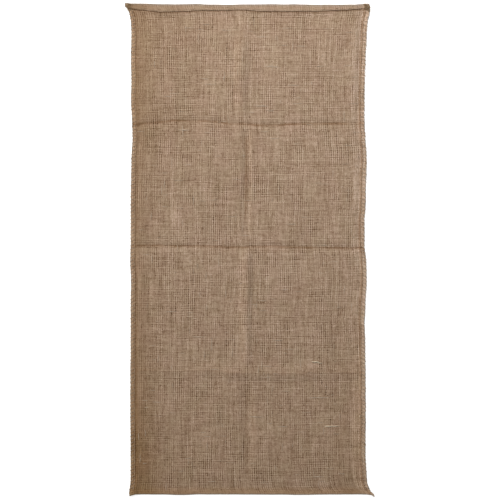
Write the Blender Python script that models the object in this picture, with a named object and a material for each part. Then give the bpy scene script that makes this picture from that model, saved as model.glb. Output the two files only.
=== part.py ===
"""An empty jute sack lying flat with its front up, its mouth towards +Y.

The sack is one length of hessian, folded at the bottom edge and sewn along both sides. The mouth has a
hem turned outwards. The model is one solid: the cloth around the flat room inside, which is open at
the mouth. It is the outer shape of the sack less the shape of that room. Metres, +Z up.
"""

import math
from collections import namedtuple

import bmesh
import bpy

MM = 0.001

# Driving dimensions
HALF_LENGTH = 675 * MM  # from the middle to the mouth, and to the bottom fold
HALF_WIDTH = 322 * MM  # nominal; SIDES has the real edges
CLOTH = 1.2 * MM  # thickness of one layer
SEAM_LEFT = 11 * MM  # from the left edge to its line of stitches
SEAM_RIGHT = 13 * MM
SEAM_HEIGHT = 4.7 * MM  # the sewn edge is four layers: both raw edges are turned in
SEAM_FOOT = 1.3 * MM  # height of the edge's lower corner, where the roll of the seam turns up
HEM_RISE = 1.9 * MM  # the hem adds two pressed layers outside the cloth
HEM_STEP = 0.8 * MM  # run of the step at the hem's edge
HEM_RAMP = 18 * MM  # beyond the back hem the cloth comes down to the floor
FOLD_INSET = 1.8 * MM  # from the bottom fold to the room inside

# The gap between the two layers
GAP_AT_SEAM = 0.4 * MM
GAP_AT_MOUTH = 1.0 * MM
GAP_IN_PANEL = 2.1 * MM
GAP_LEAST = 0.5 * MM
SEAM_FADE = 26 * MM  # the gap opens over this distance from a seam
FOLD_FADE = 75 * MM  # and over this distance from the bottom fold
MOUTH_FADE = 60 * MM

Side = namedtuple("Side", "y left right")
# Where the side edges are: a little uneven, drawn in by the stitches and flared at the four corners.
SIDES = [
    Side(678, -341, 331),
    Side(664, -338, 333),
    Side(650, -331, 332),
    Side(634, -327, 328),
    Side(590, -325, 324),
    Side(500, -324, 320),
    Side(400, -324, 318),
    Side(300, -322, 321),
    Side(200, -325, 323),
    Side(80, -327, 318),
    Side(-40, -327, 323),
    Side(-190, -327, 318),
    Side(-300, -327, 320),
    Side(-560, -327, 321),
    Side(-630, -327, 324),
    Side(-648, -329, 329),
    Side(-660, -330, 334),
    Side(-670, -331, 339),
    Side(-678, -331, 343),
]

Ends = namedtuple("Ends", "x mouth fold")
# How far the mouth and the bottom fold stand beyond their straight lines.
ENDS = [
    Ends(-341, 3, -4),
    Ends(-322, 3, -3),
    Ends(-308, 2, 1),
    Ends(-240, 0, 0),
    Ends(-60, -1, 1),
    Ends(120, 0, 0),
    Ends(280, -1, 1),
    Ends(306, 1, 0),
    Ends(322, 2, -3),
    Ends(341, -2, -4),
]

Hem = namedtuple("Hem", "x depth")
# The hem's depth, as unevenly turned as by hand.
HEM = [
    Hem(-330, 14),
    Hem(-240, 21),
    Hem(-170, 20),
    Hem(-90, 17),
    Hem(0, 16),
    Hem(90, 20),
    Hem(170, 19),
    Hem(240, 17),
    Hem(330, 13),
]

Crease = namedtuple("Crease", "x upper_y middle_y lower_y upper_z middle_z lower_z")
# The three creases across the sack, left from its folding in four: the shift of each along the
# sack, and its height. The upper and middle ones are troughs and the lower one is a ridge.
CREASE_AT = {"upper": 349 * MM, "middle": 8 * MM, "lower": -337 * MM}
CREASE_HALF_WIDTH = {"upper": 15 * MM, "middle": 13 * MM, "lower": 22 * MM}
CREASES = [
    Crease(-325, -7, 1, 3, -1.5, -1.5, 0.8),
    Crease(-200, 5, 2, 2, -0.9, -1.1, 0.7),
    Crease(-110, 5, 1, 4, -1.1, -1.0, 1.4),
    Crease(-30, -3, -2, -3, -1.4, -1.1, 2.2),
    Crease(60, -7, -1, -4, -1.3, -1.4, 2.0),
    Crease(150, -3, -2, -3, -1.2, -1.2, 1.8),
    Crease(240, -2, -3, -1, -1.1, -1.4, 1.6),
    Crease(325, -3, -5, -2, -1.2, -1.4, 1.4),
]
BOW_REACH = 45 * MM  # the cloth within this distance follows a crease's shifts

Middle = namedtuple("Middle", "y x z left right")
# The crease down the middle, folded last: a ridge and a trough by turns, between those across.
# left, right: how wide its two flanks are.
MIDDLE_CREASE = [
    Middle(675, -18, 0.0, 22, 20),
    Middle(610, -20, 0.9, 24, 20),
    Middle(560, -19, 2.2, 26, 21),
    Middle(480, -19, 2.3, 26, 21),
    Middle(400, -17, 1.8, 24, 19),
    Middle(349, -8, 0.0, 18, 12),
    Middle(320, -4, -1.5, 18, 11),
    Middle(180, -2, -1.6, 19, 11),
    Middle(60, -2, -1.2, 18, 13),
    Middle(16, -3, 0.0, 17, 13),
    Middle(-30, -3, 2.0, 22, 14),
    Middle(-200, -3, 2.0, 23, 14),
    Middle(-300, -4, 1.5, 20, 15),
    Middle(-340, -4, 0.0, 18, 16),
    Middle(-400, 0, -1.2, 24, 20),
    Middle(-560, 0, -1.3, 24, 20),
    Middle(-640, 0, -0.5, 20, 18),
    Middle(-675, 0, 0.0, 20, 18),
]

Wrinkle = namedtuple("Wrinkle", "x_start y_start x_end y_end z half_width")
# Soft wrinkles in the panels, apart from the fold creases.
WRINKLES = [
    Wrinkle(-126, -29, -44, -147, -0.8, 11),
    Wrinkle(-264, -520, -176, -560, -0.6, 14),
    Wrinkle(77, -520, 168, -606, -0.6, 14),
    Wrinkle(-231, 562, -231, 400, -0.7, 14),
    Wrinkle(266, 620, 268, 480, -0.6, 13),
    Wrinkle(-170, -490, -16, -492, -0.5, 12),
]

# Spacing of the mesh lines
PLAIN_STEP_X = 34 * MM
PLAIN_STEP_Y = 42 * MM
EDGE_OFFSETS = (0, 1.5 * MM, 4 * MM)  # lines that round an edge


def at(table, where, column):
    """A table's column at a place along its first column, eased between the rows."""
    rows = sorted(table)
    here = where / MM
    if here <= rows[0][0]:
        return getattr(rows[0], column)
    for low, high in zip(rows, rows[1:]):
        if here <= high[0]:
            share = (here - low[0]) / (high[0] - low[0])
            eased = share * share * (3 - 2 * share)
            start, end = getattr(low, column), getattr(high, column)
            return start + (end - start) * eased
    return getattr(rows[-1], column)


def fade(distance, reach):
    """0 at no distance, 1 from reach on, smooth between."""
    share = min(max(distance / reach, 0), 1)
    return share * share * (3 - 2 * share)


def bump(distance, half_width):
    """1 on a crease's line, 0 outside its half width, with a soft crest."""
    share = min(abs(distance) / half_width, 1)
    return (1 - share * share) ** 2


def side_edges(y):
    return at(SIDES, y, "left") * MM, at(SIDES, y, "right") * MM


def across_shift(x, y):
    """How far the cloth at a nominal place is shifted along the sack by the creases' bows."""
    shift = 0
    for name, line in CREASE_AT.items():
        shift += at(CREASES, x, name + "_y") * MM * bump(y - line, BOW_REACH)
    return shift


def place(x, y):
    """The real place of a nominal one: between the real edges, with the wander of the creases."""
    left, right = side_edges(y)
    share = (x + HALF_WIDTH) / (2 * HALF_WIDTH)
    real_x = left + (right - left) * share
    real_x += at(MIDDLE_CREASE, y, "x") * MM * (1 - abs(x) / HALF_WIDTH) ** 2
    mouth_share = fade(y + HALF_LENGTH - 40 * MM, 2 * HALF_LENGTH - 80 * MM)
    shift = at(ENDS, x, "mouth") * mouth_share + at(ENDS, x, "fold") * (1 - mouth_share)
    return real_x, y + across_shift(x, y) + shift * MM


def seam_distance(x, y):
    """Distance inwards from the nearer seam's line of stitches; negative in the sewn edge."""
    left, right = side_edges(y)
    widen = (right - left) / (2 * HALF_WIDTH)
    from_left = (x + HALF_WIDTH) * widen - SEAM_LEFT
    from_right = (HALF_WIDTH - x) * widen - SEAM_RIGHT
    return min(from_left, from_right)


def along_wrinkle(wrinkle, x, y):
    """Distance from a wrinkle's line, and how strongly it shows there."""
    start = (wrinkle.x_start * MM, wrinkle.y_start * MM)
    run = (wrinkle.x_end * MM - start[0], wrinkle.y_end * MM - start[1])
    length = math.hypot(*run)
    along = ((x - start[0]) * run[0] + (y - start[1]) * run[1]) / length
    off = ((x - start[0]) * run[1] - (y - start[1]) * run[0]) / length
    strength = math.sin(math.pi * min(max(along / length, 0), 1))
    return off, strength


def gap(x, y):
    """The distance between the two layers at a nominal place."""
    opened = GAP_IN_PANEL
    mouth_distance = HALF_LENGTH - y
    opened += (GAP_AT_MOUTH - GAP_IN_PANEL) * (1 - fade(mouth_distance, MOUTH_FADE))
    for name, line in CREASE_AT.items():
        crest = bump(y - line, CREASE_HALF_WIDTH[name])
        opened += at(CREASES, x, name + "_z") * MM * crest
    flank = at(MIDDLE_CREASE, y, "left" if x < 0 else "right") * MM
    opened += at(MIDDLE_CREASE, y, "z") * MM * bump(x, flank)
    for wrinkle in WRINKLES:
        off, strength = along_wrinkle(wrinkle, x, y)
        opened += wrinkle.z * MM * strength * bump(off, wrinkle.half_width * MM)
    from_fold = y + HALF_LENGTH - FOLD_INSET
    open_share = fade(seam_distance(x, y), SEAM_FADE) * fade(from_fold + 6 * MM, FOLD_FADE)
    opened = max(opened, GAP_LEAST)
    return GAP_AT_SEAM + (opened - GAP_AT_SEAM) * open_share


def in_hem(x, y):
    """1 in the hem, 0 below its edge, with a steep step between."""
    below = HALF_LENGTH - y - at(HEM, x, "depth") * MM
    return 1 - min(max(below / HEM_STEP, 0), 1)


def back_lift(x, y):
    """Height of the back layer's underside: it rides up over its own hem, then comes down."""
    below = HALF_LENGTH - y - at(HEM, x, "depth") * MM
    return HEM_RISE * (1 - fade(below, HEM_RAMP))


def room_floor(x, y):
    return CLOTH + back_lift(x, y)


def room_ceiling(x, y):
    return room_floor(x, y) + gap(x, y)


def edge_round(x, y):
    """0 on the outline and 1 from where the edge's rounding ends."""
    from_side = seam_distance(x, y) + min(SEAM_LEFT, SEAM_RIGHT)
    from_fold = y + HALF_LENGTH
    nearest = min(from_side, from_fold, HALF_LENGTH - y)
    return math.sqrt(min(max(nearest / EDGE_OFFSETS[-1], 0), 1))


def front_top(x, y):
    """Height of the front's outer surface."""
    cloth_top = room_ceiling(x, y) + CLOTH + HEM_RISE * in_hem(x, y)
    inwards = seam_distance(x, y)
    roll = bump(inwards + SEAM_LEFT / 2 + 1 * MM, SEAM_LEFT / 2 + 2 * MM)
    seam_top = cloth_top + (max(SEAM_HEIGHT, cloth_top) - cloth_top) * roll
    foot = SEAM_FOOT + 1.1 * MM
    return foot + (seam_top - foot) * (0.45 + 0.55 * edge_round(x, y))


def back_bottom(x, y):
    """Height of the back's outer surface: on the floor but at the edges and behind the hem."""
    lifted = back_lift(x, y) * (1 - in_hem(x, y))
    return lifted + SEAM_FOOT * (1 - edge_round(x, y))


def lines_between(start, end, step):
    """Evenly spaced lines from start to end, without end."""
    count = max(1, math.ceil((end - start) / step - 0.01))
    return [start + (end - start) * i / count for i in range(count)]


def filled_in(marks, step):
    """The marks with plain lines between them where they are further apart than a step."""
    marks = sorted(set(round(mark, 6) for mark in marks))
    lines = []
    for low, high in zip(marks, marks[1:]):
        lines += lines_between(low, high, step)
    return lines + [marks[-1]]


def column_lines():
    """The x of the mesh lines that run along the sack."""
    marks = [0, -24 * MM, 20 * MM, -14 * MM, 12 * MM, -6 * MM, 6 * MM]
    for inset in EDGE_OFFSETS + (7 * MM,):
        marks += [-HALF_WIDTH + inset, HALF_WIDTH - inset]
    marks += [-HALF_WIDTH + SEAM_LEFT, HALF_WIDTH - SEAM_RIGHT]
    marks += [-HALF_WIDTH + SEAM_LEFT + 12 * MM, HALF_WIDTH - SEAM_RIGHT - 12 * MM]
    return filled_in(marks, PLAIN_STEP_X)


def row_lines():
    """The y of the mesh lines that run across the sack, below the hem."""
    marks = [-HALF_LENGTH + inset for inset in EDGE_OFFSETS + (12 * MM, 30 * MM)]
    for name, line in CREASE_AT.items():
        half = CREASE_HALF_WIDTH[name]
        marks += [line + half * share for share in (-1, -0.5, 0, 0.5, 1)]
    marks.append(HALF_LENGTH - 45 * MM)
    return filled_in(marks, PLAIN_STEP_Y)


def hem_lines(x):
    """The y of the lines at the mouth, which follow the hem's uneven edge."""
    edge = HALF_LENGTH - at(HEM, x, "depth") * MM
    below = [edge - HEM_RAMP * 0.5, edge - HEM_STEP - 0.2 * MM]
    within = [edge, HALF_LENGTH - EDGE_OFFSETS[2], HALF_LENGTH - EDGE_OFFSETS[1], HALF_LENGTH]
    return below + within


def slab(name, columns, rows_at, top, bottom):
    """A closed solid between two height functions, over a mesh of lines across and along."""
    rows = len(rows_at(0))
    mesh = bmesh.new()
    bmesh.ops.create_grid(mesh, x_segments=len(columns) - 1, y_segments=rows - 1, size=1)
    under = {vertex: grid_index(vertex, len(columns), rows) for vertex in mesh.verts}
    faces = bmesh.ops.extrude_face_region(mesh, geom=mesh.faces[:], use_keep_orig=True)
    over = [made for made in faces["geom"] if isinstance(made, bmesh.types.BMVert)]
    over = {vertex: grid_index(vertex, len(columns), rows) for vertex in over}
    for indices, height in ((under, bottom), (over, top)):
        for vertex, (i, j) in indices.items():
            x, y = columns[i], rows_at(columns[i])[j]
            vertex.co = (*place(x, y), height(x, y))
    bmesh.ops.recalc_face_normals(mesh, faces=mesh.faces)
    data = bpy.data.meshes.new(name)
    mesh.to_mesh(data)
    mesh.free()
    return bpy.data.objects.new(name, data)


def grid_index(vertex, columns, rows):
    """Which column and row of a unit grid a vertex is on."""
    across = (vertex.co.x + 1) / 2 * (columns - 1)
    along = (vertex.co.y + 1) / 2 * (rows - 1)
    return round(across), round(along)


def outer_shape():
    """The sack as if it were solid all through."""
    rows = row_lines()
    return slab("sack_cloth", column_lines(), lambda x: rows + hem_lines(x), front_top, back_bottom)


def room_shape():
    """The room between the layers, run out past the mouth so that it cuts it open."""
    columns = [x for x in column_lines() if in_room(x)]
    rows = [y for y in row_lines() if y > -HALF_LENGTH + FOLD_INSET]
    past_mouth = HALF_LENGTH + 12 * MM
    return slab(
        "room_cutter",
        columns,
        lambda x: [-HALF_LENGTH + FOLD_INSET] + rows + hem_lines(x) + [past_mouth],
        room_ceiling,
        room_floor,
    )


def in_room(x):
    least, most = -HALF_WIDTH + SEAM_LEFT, HALF_WIDTH - SEAM_RIGHT
    return least - 1e-6 <= x <= most + 1e-6


def jute():
    material = bpy.data.materials.new("jute")
    material.use_nodes = True
    shader = material.node_tree.nodes["Principled BSDF"]
    shader.inputs["Base Color"].default_value = (0.36, 0.25, 0.165, 1)
    shader.inputs["Roughness"].default_value = 0.92
    shader.inputs["Metallic"].default_value = 0
    return material


def main():
    for old in list(bpy.data.objects):
        bpy.data.objects.remove(old)
    sack_parts = bpy.data.collections.new("jute_sack")
    cutters = bpy.data.collections.new("cutters")
    for collection in (sack_parts, cutters):
        bpy.context.scene.collection.children.link(collection)

    cloth = outer_shape()
    cloth.data.materials.append(jute())
    sack_parts.objects.link(cloth)

    room = room_shape()
    room.hide_render = True
    room.display_type = "WIRE"
    cutters.objects.link(room)

    cut = cloth.modifiers.new("room", "BOOLEAN")
    cut.operation = "DIFFERENCE"
    cut.object = room


main()
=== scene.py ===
"""The looks of an empty jute sack that lies flat, front up, with its mouth towards +Y.

The cloth is one long sheet of hessian. It runs from the turned-in edge of the front hem over the
mouth, down the front, round the fold at the bottom, up the back and into the back hem, and its side
edges are turned in between the layers. Thread holds the sides and hems. Metres, +Z up.
"""

import math
import random
from collections import namedtuple

import bmesh
import bpy
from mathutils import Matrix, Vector, noise


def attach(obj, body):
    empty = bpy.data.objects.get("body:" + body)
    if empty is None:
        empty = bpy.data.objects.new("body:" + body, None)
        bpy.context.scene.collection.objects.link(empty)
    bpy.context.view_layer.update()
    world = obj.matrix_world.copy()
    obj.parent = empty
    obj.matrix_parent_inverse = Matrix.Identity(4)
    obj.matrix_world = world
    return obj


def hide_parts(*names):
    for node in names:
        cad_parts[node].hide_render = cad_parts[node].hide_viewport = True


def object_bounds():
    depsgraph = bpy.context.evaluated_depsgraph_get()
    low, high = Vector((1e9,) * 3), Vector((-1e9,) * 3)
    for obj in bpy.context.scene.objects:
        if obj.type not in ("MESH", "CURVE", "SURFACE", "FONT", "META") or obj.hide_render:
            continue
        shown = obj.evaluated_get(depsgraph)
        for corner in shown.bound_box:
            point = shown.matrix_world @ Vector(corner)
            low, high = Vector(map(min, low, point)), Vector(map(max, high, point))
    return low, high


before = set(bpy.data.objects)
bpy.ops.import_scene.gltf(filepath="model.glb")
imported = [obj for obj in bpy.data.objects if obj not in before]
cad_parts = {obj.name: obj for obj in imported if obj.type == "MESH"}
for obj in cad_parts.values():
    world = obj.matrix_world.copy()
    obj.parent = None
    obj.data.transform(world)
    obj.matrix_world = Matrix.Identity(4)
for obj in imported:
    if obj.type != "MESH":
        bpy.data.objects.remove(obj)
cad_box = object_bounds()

MM = 0.001

# Main sizes
HALF_LENGTH = 675 * MM  # from the middle to the mouth, and to the bottom fold
HALF_WIDTH = 322 * MM  # nominal; SIDES has the real edges
CLOTH = 1.1 * MM  # thickness of one layer
PLY = 1.0 * MM  # pressed layers lie this far apart
SEAM_LEFT = 11 * MM  # from the left edge to its line of stitches
SEAM_RIGHT = 13 * MM
SEAM_LAYERS = 3.1 * MM  # between the middles of the outer layers where four are sewn together
TUCK = 8 * MM  # how far the raw side edges are turned in
HEM_DEPTH = 17 * MM  # nominal; HEM has the real depths
HEM_TUCK = 7 * MM  # how far the hem's raw edge is turned in
FOLD_DEPTH = 3 * MM  # from the bottom fold to where the layers begin to turn round it
STRAIGHT_ENDS = 40 * MM  # the end shapes don't change within this distance of the mouth and the fold
HEM_RAMP = 18 * MM  # beyond the back hem the cloth comes down to the floor
GAP_AT_MOUTH = 1.0 * MM
GAP_IN_PANEL = 2.6 * MM
GAP_LEAST = 0.3 * MM
SEAM_FADE = 24 * MM
FOLD_FADE = 75 * MM
MOUTH_FADE = 60 * MM
WARP_PITCH = 2.9 * MM  # the yarns that run along the sack
WEFT_PITCH = 3.2 * MM
STITCH_PITCH = 10.4 * MM
THREAD_RADIUS = 0.75 * MM
HEM_STITCH_PITCH = STITCH_PITCH * 0.8
HEM_THREAD_RADIUS = 0.42 * MM
FIBRES = 900
CHANCE_SLUBS = 220

Side = namedtuple("Side", "y left right")
# The side edges: drawn in by the stitches, and flared at the four corners.
SIDES = [
    Side(678, -343, 330),
    Side(667, -341, 333),
    Side(659, -336, 333),
    Side(653, -332, 332),
    Side(646, -329, 332),
    Side(636, -327, 328),
    Side(620, -325, 326),
    Side(590, -324, 324),
    Side(520, -325, 321),
    Side(465, -324, 319),
    Side(400, -325, 318),
    Side(356, -322, 318),
    Side(300, -321, 321),
    Side(246, -324, 324),
    Side(190, -325, 322),
    Side(136, -326, 321),
    Side(80, -326, 318),
    Side(26, -326, 318),
    Side(-30, -327, 323),
    Side(-85, -325, 324),
    Side(-140, -326, 321),
    Side(-194, -326, 318),
    Side(-250, -326, 320),
    Side(-400, -327, 321),
    Side(-560, -326, 321),
    Side(-615, -326, 323),
    Side(-634, -326, 325),
    Side(-648, -328, 329),
    Side(-660, -330, 336),
    Side(-668, -330, 344),
    Side(-678, -330, 348),
]

Ends = namedtuple("Ends", "x mouth fold")
# How far the mouth and the bottom fold stand beyond their straight lines.
ENDS = [
    Ends(-341, 3, -4),
    Ends(-322, 3, -4),
    Ends(-314, 3, -1),
    Ends(-306, 2, 1),
    Ends(-285, 2, 1),
    Ends(-200, 0, 0),
    Ends(-130, 1, 1),
    Ends(-60, -1, 1),
    Ends(20, 0, 1),
    Ends(120, 0, 0),
    Ends(200, -1, 1),
    Ends(280, -1, 1),
    Ends(300, 1, 1),
    Ends(312, 2, 0),
    Ends(318, 2, -3),
    Ends(322, 1, -7),
]

Hem = namedtuple("Hem", "x depth")
HEM = [
    Hem(-320, 13),
    Hem(-285, 17),
    Hem(-240, 21),
    Hem(-170, 19),
    Hem(-90, 16),
    Hem(-10, 14),
    Hem(60, 19),
    Hem(120, 19),
    Hem(170, 18),
    Hem(240, 15),
    Hem(300, 12),
    Hem(320, 13),
]

Crease = namedtuple("Crease", "x upper_y middle_y lower_y upper_z middle_z lower_z")
# The three creases across the sack, from its folding in four: how far each strays along the sack,
# and its height. The upper and middle ones are troughs, and the lower one is a ridge.
CREASE_AT = {"upper": 349 * MM, "middle": 8 * MM, "lower": -337 * MM}
CREASE_HALF_WIDTH = {"upper": 17 * MM, "middle": 15 * MM, "lower": 27 * MM}
CREASES = [
    Crease(-325, -7, 1, 3, -1.6, -1.6, 0.7),
    Crease(-250, 0, 3, 4, -1.1, -1.3, 1.0),
    Crease(-200, 6, 2, 2, -0.8, -0.9, 0.6),
    Crease(-110, 4, 1, 4, -1.3, -1.1, 2.0),
    Crease(-30, -3, -2, -3, -1.7, -1.1, 3.0),
    Crease(60, -7, 1, -5, -1.5, -1.6, 2.4),
    Crease(150, -3, -2, -3, -1.1, -1.1, 2.6),
    Crease(240, -2, -3, -1, -1.1, -1.6, 1.8),
    Crease(325, -3, -5, -2, -1.2, -1.6, 1.6),
]
BOW_REACH = 45 * MM

Middle = namedtuple("Middle", "y x z left right")
# The crease down the middle, folded last: a ridge and a trough by turns, between those across.
# left, right: how wide its two flanks are.
MIDDLE_CREASE = [
    Middle(675, -18, 0.0, 24, 22),
    Middle(610, -20, 1.0, 26, 22),
    Middle(560, -20, 3.6, 28, 22),
    Middle(480, -20, 4.0, 28, 22),
    Middle(400, -18, 3.4, 26, 20),
    Middle(349, -8, 0.0, 18, 12),
    Middle(320, -4, -2.6, 20, 10),
    Middle(180, -2, -3.0, 21, 10),
    Middle(60, -2, -2.0, 20, 14),
    Middle(16, -3, 0.0, 18, 14),
    Middle(-30, -3, 3.4, 24, 14),
    Middle(-200, -3, 3.4, 25, 14),
    Middle(-300, -4, 2.2, 22, 16),
    Middle(-340, -4, 0.0, 20, 18),
    Middle(-400, 0, -1.9, 27, 22),
    Middle(-560, 0, -2.0, 27, 22),
    Middle(-640, 0, -0.6, 22, 20),
    Middle(-675, 0, 0.0, 22, 20),
]

Wrinkle = namedtuple("Wrinkle", "x_start y_start x_end y_end z half_width")
# Soft wrinkles in the panels, apart from the fold creases.
WRINKLES = [
    Wrinkle(-140, -15, -44, -155, -0.9, 10),
    Wrinkle(-300, -495, -190, -546, -0.8, 15),
    Wrinkle(93, -532, 160, -587, -0.9, 13),
    Wrinkle(-226, -360, -224, -660, -0.6, 10),
    Wrinkle(-231, 562, -228, 400, -0.7, 12),
    Wrinkle(266, 640, 268, 480, -0.7, 11),
    Wrinkle(-170, -490, -16, -492, -0.5, 12),
    Wrinkle(110, 330, 190, 160, 0.6, 18),
    Wrinkle(-150, 290, -210, 120, 0.5, 17),
    Wrinkle(70, -90, 250, -190, 0.6, 20),
    Wrinkle(-260, 610, -130, 520, 0.5, 16),
    Wrinkle(120, 560, 40, 420, 0.6, 18),
]


def at(table, where, column):
    """A table's column at a place along its first column, eased between the rows."""
    here = where / MM
    first, last = table[0], table[-1]
    falling = first[0] > last[0]
    rows = reversed(table) if falling else table
    low = None
    for high in rows:
        if here <= high[0]:
            if low is None:
                return getattr(high, column)
            share = (here - low[0]) / (high[0] - low[0])
            eased = share * share * (3 - 2 * share)
            start, end = getattr(low, column), getattr(high, column)
            return start + (end - start) * eased
        low = high
    return getattr(low, column)


def fade(distance, reach):
    """0 at no distance, 1 from reach on, smooth between."""
    share = min(max(distance / reach, 0), 1)
    return share * share * (3 - 2 * share)


def bump(distance, half_width):
    """1 on a line, 0 outside its half width, with a soft crest."""
    share = min(abs(distance) / half_width, 1)
    return (1 - share * share) ** 2


def waver(x, y, x_size, y_size, seed):
    """Smooth noise between about -1 and 1, of a given size across and along the sack."""
    return noise.noise(Vector((x / x_size, y / y_size, seed)))


# ------------------------------------------------------------------ the shape of the sack


def side_edges(y):
    """The real x of both edges, pinched a little by every stitch."""
    left = at(SIDES, y, "left") * MM + 0.9 * MM * waver(0, y, 1, 13 * MM, 3.1)
    right = at(SIDES, y, "right") * MM + 1.1 * MM * waver(0, y, 1, 12 * MM, 7.7)
    pinch = 0.45 * MM * math.cos(2 * math.pi * y / STITCH_PITCH)
    return left - pinch, right + pinch


def across_shift(x, y):
    """How far the creases' bows shift the cloth along the sack."""
    shift = 0
    for name, line in CREASE_AT.items():
        near = bump(y - line, BOW_REACH)
        if near > 0:
            shift += (at(CREASES, x, name + "_y") * MM + 1.3 * MM * waver(x, 0, 21 * MM, 1, line)) * near
    return shift


def middle_shift(x, y):
    """How far the middle crease's wander shifts the places near it across the sack."""
    return at(MIDDLE_CREASE, y, "x") * MM * (1 - abs(x) / HALF_WIDTH) ** 2


def place(x, y):
    """The real place of a nominal one: between the real edges, with the wander of the creases."""
    left, right = side_edges(y)
    share = (x + HALF_WIDTH) / (2 * HALF_WIDTH)
    real_x = left + (right - left) * share
    real_x += middle_shift(x, y)
    mouth_share = fade(y + HALF_LENGTH - STRAIGHT_ENDS, 2 * (HALF_LENGTH - STRAIGHT_ENDS))
    shift = at(ENDS, x, "mouth") * mouth_share + at(ENDS, x, "fold") * (1 - mouth_share)
    shift += 0.8 * waver(x, y, 30 * MM, 300 * MM, 5.5)
    return real_x, y + across_shift(x, y) + shift * MM


def seam_distance(x):
    """Nominal distance inwards from the nearer seam's line of stitches."""
    return min(x + HALF_WIDTH - SEAM_LEFT, HALF_WIDTH - SEAM_RIGHT - x)


def wrinkle_share(wrinkle, x, y):
    """How strongly a wrinkle shows at a place."""
    start = Vector((wrinkle.x_start, wrinkle.y_start)) * MM
    run = Vector((wrinkle.x_end, wrinkle.y_end)) * MM - start
    offset = Vector((x, y)) - start
    along = offset.dot(run) / run.length_squared
    if not 0 < along < 1:
        return 0
    off = (offset - run * along).length
    return math.sin(math.pi * along) * bump(off, wrinkle.half_width * MM)


def relief(x, y):
    """Height that creases, wrinkles and ripples add to the front panel."""
    height = 0
    for name, line in CREASE_AT.items():
        crest = bump(y - line, CREASE_HALF_WIDTH[name])
        if crest > 0:
            depth = at(CREASES, x, name + "_z")
            sharp = bump(y - line, 3.5 * MM)
            height += depth * crest + math.copysign(0.35, depth) * sharp
    flank = at(MIDDLE_CREASE, y, "left" if x < 0 else "right") * MM
    height += at(MIDDLE_CREASE, y, "z") * bump(x, flank)
    for wrinkle in WRINKLES:
        height += wrinkle.z * wrinkle_share(wrinkle, x, y)
    height += 1.1 * waver(x, y, 75 * MM, 120 * MM, 1.3)
    height += 0.5 * waver(x, y, 26 * MM, 40 * MM, 8.2)
    height += 0.22 * waver(x, y, 11 * MM, 16 * MM, 4.4)
    height -= (0.25 if x < 0 else 0.4) * seam_groove(x)
    near_seam = bump(seam_distance(x) - 10 * MM, 34 * MM)
    height += 0.75 * near_seam * waver(x, y, 45 * MM, 8 * MM, 2.2)
    near_hem = bump(HALF_LENGTH - 38 * MM - y, 24 * MM)
    height += 0.5 * near_hem * waver(x, y, 13 * MM, 40 * MM, 6.1)
    return height * MM


def hem_edge(x):
    """The nominal y of the hem's lower edge, slightly pinched by its stitches."""
    pinch = 0.35 * MM * math.cos(2 * math.pi * x / HEM_STITCH_PITCH)
    return HALF_LENGTH - at(HEM, x, "depth") * MM + pinch


def back_middle(x, y):
    """Height of the middle of the back layer: it rides up over its own hem."""
    below = hem_edge(x) - y
    return CLOTH / 2 + 2 * PLY * (1 - fade(below, HEM_RAMP))


def front_middle(x, y):
    """Height of the middle of the front layer."""
    opened = GAP_IN_PANEL
    opened += (GAP_AT_MOUTH - GAP_IN_PANEL) * (1 - fade(HALF_LENGTH - y, MOUTH_FADE))
    opened = max(opened + relief(x, y), GAP_LEAST)
    from_fold = y + HALF_LENGTH
    inwards = seam_distance(x)
    opened = CLOTH + opened * fade(from_fold + 4 * MM, FOLD_FADE) * fade(inwards + 5 * MM, SEAM_FADE)
    roll = 1 - fade(inwards - 1 * MM, 10 * MM if x < 0 else 5 * MM)
    opened += (max(SEAM_LAYERS, opened) - opened) * roll
    return back_middle(x, y) + opened


# ------------------------------------------------------------------ the cloth's grid

Column = namedtuple("Column", "x turn tuck flat")
# x: nominal place. turn: share of the half turn round the side edge. tuck: depth turned in.
# flat: place across the flat cloth.
Row = namedtuple("Row", "front y_at rise turn flat_at")
# front: 1 on the front, -1 on the back. y_at: nominal y at each x. rise: height over the panel,
# outwards. turn: share of the half turn round the bottom fold. flat_at: place along the flat cloth.


def spaced(start, end, step):
    """Even steps from start to end, without end."""
    count = max(1, round((end - start) / step))
    return [start + (end - start) * i / count for i in range(count)]


def filled_in(marks, step):
    marks = sorted(set(round(mark, 6) for mark in marks))
    lines = []
    for low, high in zip(marks, marks[1:]):
        lines += spaced(low, high, step)
    return lines + [marks[-1]]


def panel_columns():
    """Nominal x of the lines along the sack, closer at the seams and at the middle crease."""
    insets = [0, 1.2, 2.5, 4, 6, 8, 10, 12, 14, 17, 21, 26]
    reach = HALF_WIDTH - (PLY + CLOTH) / 2
    marks = [0] + [sign * v * MM for sign in (-1, 1) for v in (2, 4, 7, 10, 14, 18, 22, 26)]
    for inset in insets:
        marks += [-reach + inset * MM, reach - inset * MM]
    return filled_in(marks, 6.4 * MM)


def columns():
    """All lines along the sack, with the side edges turned in."""
    panel = [Column(x, 0, 0, x) for x in panel_columns()]
    turned = []
    for turn in (0.33, 0.67, 1.0):
        turned.append((turn, 0, turn * math.pi * PLY / 2))
    for tuck in (3 * MM, TUCK):
        turned.append((1.0, tuck, math.pi * PLY / 2 + tuck))
    left = [Column(panel[0].x, t, k, panel[0].x - flat) for t, k, flat in turned]
    right = [Column(panel[-1].x, t, k, panel[-1].x + flat) for t, k, flat in turned]
    return left[::-1] + panel + right


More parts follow.
